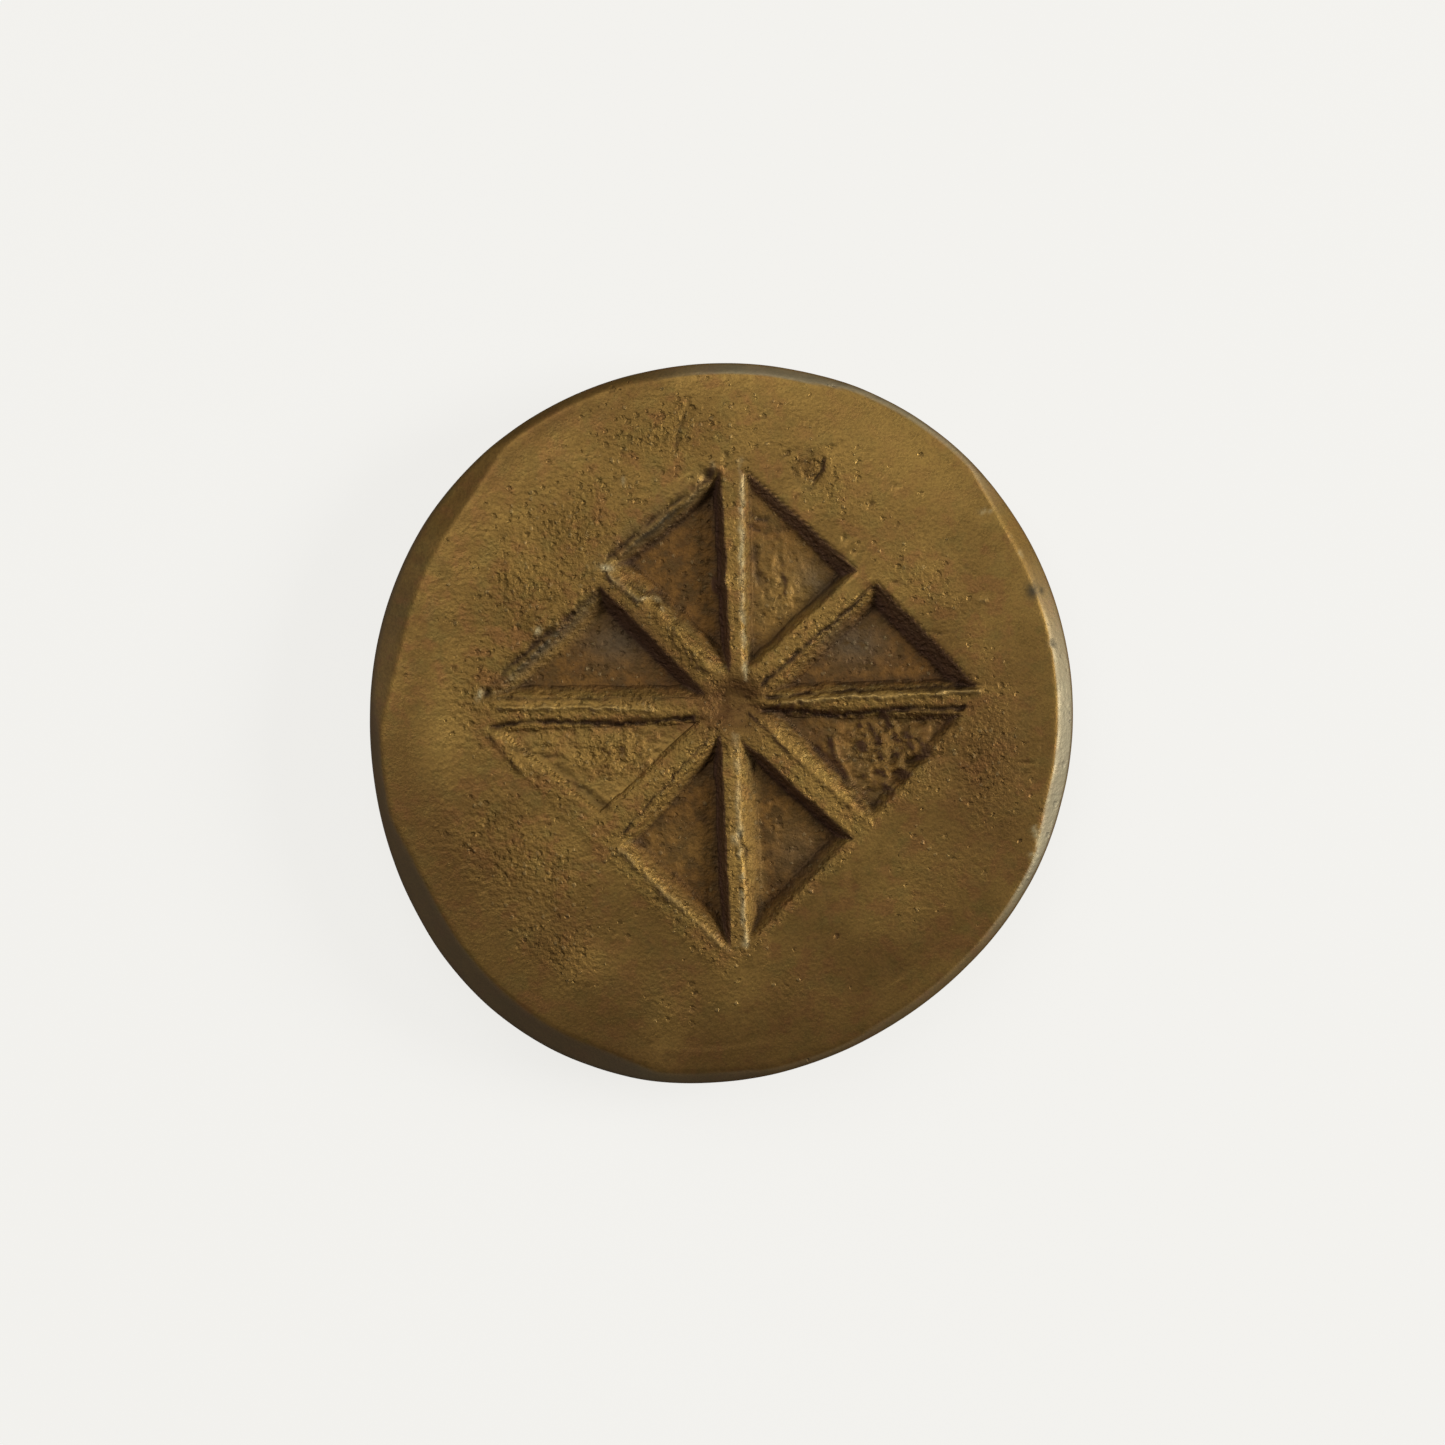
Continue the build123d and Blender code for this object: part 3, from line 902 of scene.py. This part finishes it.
def skin_patterns(graph):
    """Noises and dots of the skin: more pits and crumbs where it is rough, and a few holes anywhere."""
    grain = graph.attribute("grain")
    crooked = graph.crooked_place(size_mm=0.16, reach_mm=0.10)
    return Patterns(
        grain=grain,
        mottle=graph.noise(size_mm=0.8, detail=4.0, offset=0.7, roughness=0.6),
        sand=graph.noise(size_mm=0.28, detail=2.0, offset=0.9),
        fine=graph.noise(size_mm=0.14, detail=2.0, offset=0.1, roughness=0.6),
        pit=graph.dots(crooked, PITS, share=graph.remap(grain, 0.05, 1.0, 0.0, 0.95)),
        crumb=graph.dots(crooked, CRUMBS, share=graph.remap(grain, 0.1, 1.0, 0.0, 0.60)),
        hole=graph.dots(crooked, HOLES, share=0.03),
    )


def metal_colour(graph):
    """Olive brass, clouded with gold and mottled with red and green."""
    clouds = graph.remap(graph.noise(size_mm=4.0, detail=4.0, offset=0.3), 0.38, 0.62, 0.0, 0.45)
    red = graph.remap(graph.noise(size_mm=1.1, offset=1.7), 0.48, 0.66, 0.0, 0.55)
    green = graph.remap(graph.noise(size_mm=1.3, offset=2.3), 0.50, 0.66, 0.0, 0.45)
    colour = graph.mix(clouds, OLIVE_BRASS, GOLDEN_BRASS)
    colour = graph.mix(red, colour, RED_TINT)
    return graph.mix(green, colour, GREEN_TINT)


def with_patina_and_painted_light(graph, colour, sunk, mottle):
    """Darker brown on part of the face, red and dark in the pockets, golden where rubbed and, as painted
    light, where slopes, arrises and rim face the lights, and grey-green.
    """
    brown = graph.math("ADD", graph.attribute("brown"), graph.remap(mottle, 0.35, 0.70, -0.25, 0.25))
    # Darker brown towards the bottom and the right, and painted shade on the upper-left crest.
    colour = graph.cover(colour, DARK_BROWN_TONE, brown, 0.66)
    floor_colour = graph.mix(graph.remap(mottle, 0.36, 0.66), DARK_PATINA, RED_PATINA)
    colour = graph.mix(graph.remap(sunk, 0.15, 0.85, 0.0, 0.90), colour, floor_colour)
    gold = graph.math("ADD", graph.attribute("gold"), graph.remap(mottle, 0.3, 0.7, -0.2, 0.2))
    # Golden where rubbed, and painted light where slopes, arrises and rim face the lights.
    colour = graph.cover(colour, GOLDEN_BRASS, gold, 0.55)
    green = graph.math("MULTIPLY", graph.attribute("green"), graph.remap(mottle, 0.3, 0.55))
    return graph.cover(colour, GREEN_PATINA, green, 0.8)


def with_dirt_and_shade(graph, colour, patterns):
    """Pale crumbs, partly painted highlight; painted shade in corners and crevices; dirt and painted shade
    in hollows, pits and holes.
    """
    # Pale crumbs: raised grit, partly painted highlight.
    colour = graph.cover(colour, PALE_CRUMB_HIGHLIGHT, patterns.crumb, 0.22)
    # Painted shade: darker at the foot of the pockets' walls.
    colour = graph.mix(graph.remap(graph.attribute("corner"), 0.15, 1.0, 0.0, 0.5), colour, DARK_DIRT_AND_SHADE)
    # Dirt and painted shade: darker where a point lies below its neighbours.
    colour = graph.mix(graph.remap(graph.attribute("hollow"), 0.08, 0.9, 0.0, 0.6), colour, DARK_DIRT_AND_SHADE)
    # Painted shade in the crevices.
    colour = graph.cover(colour, DARK_DIRT_AND_SHADE, graph.attribute("crevice"), 0.85)
    # Dirt and painted shade in pits and holes.
    colour = graph.cover(colour, DARK_DIRT_AND_SHADE, patterns.pit, graph.remap(patterns.grain, 0.0, 1.0, 0.24, 0.10))
    colour = graph.cover(colour, DARK_DIRT_AND_SHADE, patterns.hole, 0.45)
    return graph.mix(graph.remap(patterns.fine, 0.40, 0.68, 0.0, 0.22), colour, DARK_DIRT_AND_SHADE)


def with_wear_and_painted_light(graph, colour):
    """Painted shade on slopes facing away from the lights and on the side wall, a greyer painted shade
    tone on the rim's far side, bare filing and painted highlight where the rim faces the lights, and
    stains.
    """
    # Painted shade on the slopes that face away from the lights, fainter on the rim.
    colour = graph.cover(colour, PAINTED_SHADE_BROWN, graph.attribute("painted_shade"), 0.75)
    # Painted shade: the side wall is coloured darker.
    colour = graph.mix(graph.remap(graph.attribute("wall"), 0.0, 1.0, 0.0, 0.35), colour, DARK_DIRT_AND_SHADE)
    # Painted shade tone: the filed rim is greyer where it faces away from the lights.
    colour = graph.cover(colour, SHADE_SIDE_RIM_GREY, graph.attribute("shade_side_rim"), 0.45)
    # Bare filing and painted highlight where the rim faces the lights.
    colour = graph.cover(colour, BARE_AND_LIT_BRASS, graph.attribute("bare_and_lit"), 0.68)
    return graph.cover(colour, STAIN, graph.attribute("stain"), 0.95)


def skin_roughness(graph, patterns):
    """Duller where the skin is rough and where the rim is filed."""
    rough = graph.remap(patterns.grain, 0.0, 1.0, SMOOTH_ROUGHNESS, GRAIN_ROUGHNESS)
    rough = graph.math("ADD", rough, graph.remap(patterns.mottle, 0.3, 0.7, -0.06, 0.06))
    rough = graph.math("ADD", rough, graph.math("MULTIPLY", graph.attribute("filed"), FILED_ROUGHNESS))
    return graph.math("SUBTRACT", rough, graph.math("MULTIPLY", graph.attribute("bare_and_lit"), 0.04))


def skin_bump(graph, patterns):
    """Normals of the relief that is too fine for the mesh."""
    coarse = graph.math("ADD", graph.math("POWER", patterns.grain, 1.6), 0.05)
    height = graph.math("MULTIPLY", coarse, graph.math("MULTIPLY", patterns.sand, SAND_BUMP))
    height = graph.math("ADD", height, graph.math("MULTIPLY", patterns.crumb, CRUMB_BUMP))
    pit_depth = graph.remap(patterns.grain, 0.0, 1.0, SMOOTH_PIT_BUMP, ROUGH_PIT_BUMP)
    height = graph.math("SUBTRACT", height, graph.math("MULTIPLY", patterns.pit, pit_depth))
    height = graph.math("SUBTRACT", height, graph.math("MULTIPLY", patterns.hole, HOLE_BUMP))
    height = graph.math("ADD", height, graph.math("MULTIPLY", patterns.fine, FINE_BUMP))
    bump = graph.node("ShaderNodeBump")
    bump.inputs["Distance"].default_value = MM
    graph.plug(height, bump.inputs["Height"])
    return bump.outputs["Normal"]


def brass_material():
    """Cast brass under a patina: more like bare metal on the face, and like a crust in the pockets."""
    material, tree, shader = new_material("cast_brass")
    graph = Graph(tree)
    patterns = skin_patterns(graph)
    sunk = graph.attribute("sunk")
    # Rubbed metal and painted highlights: cream colour, and less metallic, on arrises and small spots.
    shine = graph.math("MULTIPLY", graph.attribute("shine"), graph.remap(patterns.mottle, 0.34, 0.50))
    colour = with_patina_and_painted_light(graph, metal_colour(graph), sunk, patterns.mottle)
    colour = with_wear_and_painted_light(graph, with_dirt_and_shade(graph, colour, patterns))
    metallic = graph.remap(sunk, 0.1, 0.6, FACE_METALLIC, FLOOR_METALLIC)
    metallic = graph.math("SUBTRACT", metallic, graph.math("MULTIPLY", shine, 0.4))
    graph.plug(graph.mix(shine, colour, CREAM_CREST), shader.inputs["Base Color"])
    graph.plug(skin_roughness(graph, patterns), shader.inputs["Roughness"])
    graph.plug(metallic, shader.inputs["Metallic"])
    graph.plug(skin_bump(graph, patterns), shader.inputs["Normal"])
    shader.inputs["Specular IOR Level"].default_value = 0.1
    return material


# --- stage, light and camera, in metres -----------------------------------------------------------
FLOOR_SIZE = 6.0
FLOOR_GAP = 0.1 * MM  # below the token, so that its back and the floor don't share a plane
FLOOR_PAINT = (0.08, 0.08, 0.078, 1)
PALE_PAPER = (0.87, 0.86, 0.83, 1)
PAPER_GLOW = 0.935
DIM_ROOM = (0.13, 0.13, 0.13, 1)

Softbox = namedtuple("Softbox", "name azimuth elevation size power")
SOFTBOX_DISTANCE = 1.0
SOFTBOXES = [
    Softbox("right_softbox", azimuth=6, elevation=28, size=(0.45, 0.35), power=9.0),
    Softbox("top_softbox", azimuth=118, elevation=58, size=(0.8, 0.8), power=4.2),
]

CAMERA_LENS = 100.0  # millimetres
CAMERA_LEAN = radians(2)  # away from straight above the token
CAMERA_LEAN_AZIMUTH = radians(215)
CAMERA_TARGET = 0.7  # height that the camera looks at, as a share of the token's
TOKEN_SHARE_OF_FRAME = 0.4873


def floor_material():
    """Pale paper that glows a little, so that it stays even under the lights."""
    material, _, shader = new_material("floor_paint")
    shader.inputs["Base Color"].default_value = FLOOR_PAINT
    shader.inputs["Roughness"].default_value = 0.9
    shader.inputs["Emission Color"].default_value = PALE_PAPER
    shader.inputs["Emission Strength"].default_value = PAPER_GLOW
    return material


def add_floor():
    """Pale floor. It glows, so it is kept from lighting the token's rim from below."""
    bpy.ops.mesh.primitive_plane_add(size=FLOOR_SIZE, location=(0, 0, -FLOOR_GAP))
    plane = bpy.context.object
    plane.name = "floor"
    plane.data.materials.append(floor_material())
    plane.visible_diffuse = False
    plane.visible_glossy = False


def add_softbox(box):
    """Area light that faces the token and that the camera doesn't see."""
    light = bpy.data.lights.new(box.name, "AREA")
    light.shape = "RECTANGLE"
    light.size, light.size_y = box.size
    light.energy = box.power
    lamp = bpy.data.objects.new(box.name, light)
    azimuth, elevation = radians(box.azimuth), radians(box.elevation)
    level = cos(elevation)
    towards = Vector((level * cos(azimuth), level * sin(azimuth), sin(elevation)))
    lamp.location = towards * SOFTBOX_DISTANCE
    lamp.rotation_euler = towards.to_track_quat("Z", "Y").to_euler()
    lamp.visible_camera = False
    bpy.context.scene.collection.objects.link(lamp)


def add_world():
    """Dim light from all round, with pale paper behind the object where the camera sees past the floor."""
    world = bpy.data.worlds.new("studio")
    world.use_nodes = True
    graph = Graph(world.node_tree)
    background = world.node_tree.nodes["Background"]
    seen = graph.node("ShaderNodeLightPath").outputs["Is Camera Ray"]
    graph.plug(graph.mix(seen, DIM_ROOM, PALE_PAPER), background.inputs["Color"])
    bpy.context.scene.world = world


def add_camera():
    """Camera over the face, a little to one side of straight above it."""
    data = bpy.data.cameras.new("camera")
    data.lens = CAMERA_LENS
    distance = (HIGH.x - LOW.x) / TOKEN_SHARE_OF_FRAME * data.lens / data.sensor_width
    lean = sin(CAMERA_LEAN)
    back = Vector((lean * cos(CAMERA_LEAN_AZIMUTH), lean * sin(CAMERA_LEAN_AZIMUTH), cos(CAMERA_LEAN)))
    side = Vector((0, 1, 0)).cross(back).normalized()
    turn = Matrix((side, back.cross(side), back)).transposed()
    camera = bpy.data.objects.new("camera", data)
    target = Vector((0, 0, HIGH.z * CAMERA_TARGET))
    camera.matrix_world = Matrix.Translation(target + back * distance) @ turn.to_4x4()
    bpy.context.scene.collection.objects.link(camera)
    bpy.context.scene.camera = camera


# --- the scene ------------------------------------------------------------------------------------
token = build_token()
describe_surface(token.data)
token.data.materials.append(brass_material())
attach(token, "root")
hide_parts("token")

add_floor()
add_world()
for box in SOFTBOXES:
    add_softbox(box)
add_camera()
bpy.context.scene.view_settings.view_transform = "Standard"
